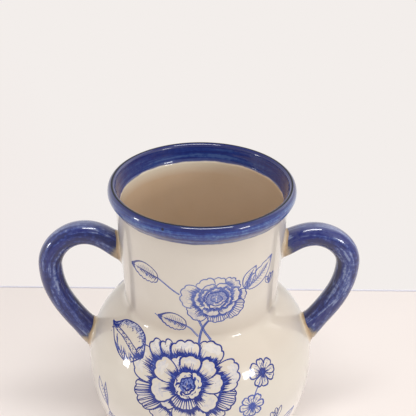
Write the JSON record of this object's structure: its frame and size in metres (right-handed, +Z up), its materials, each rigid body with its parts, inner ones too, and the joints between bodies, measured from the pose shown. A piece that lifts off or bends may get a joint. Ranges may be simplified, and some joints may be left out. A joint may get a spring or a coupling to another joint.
{
  "type": "two-handled vase",
  "caption": "Round-bellied pottery vase with a tall flared neck, a rolled lip and a looped handle on each side, for flowers or water.",
  "frame": {"origin": "centre of the foot ring's resting face, on the table and on the axis of the thrown body", "axes": "+Z up along the axis of the thrown body; +X towards the right handle, seen from the decorated front; the front faces -Y"},
  "size_m": [0.2436, 0.1756, 0.24],
  "materials": {
    "cream_glaze": "glossy cream glaze with fine blue line decoration",
    "cobalt_glaze": "glossy cobalt blue under clear glaze, brushed on in streaks",
    "thin_glaze": "thin glossy glaze that lets the buff clay show",
    "bare_clay": "matte, unglazed where it stands on the table"
  },
  "bodies": {
    "root": {"foot_ring": "bare_clay", "belly": "cream_glaze", "neck": "cream_glaze", "lip": "cobalt_glaze", "left_handle": "cobalt_glaze", "right_handle": "cobalt_glaze", "left_upper_luting": "thin_glaze", "left_lower_luting": "thin_glaze", "right_upper_luting": "thin_glaze", "right_lower_luting": "thin_glaze"}
  },
  "joints": []
}
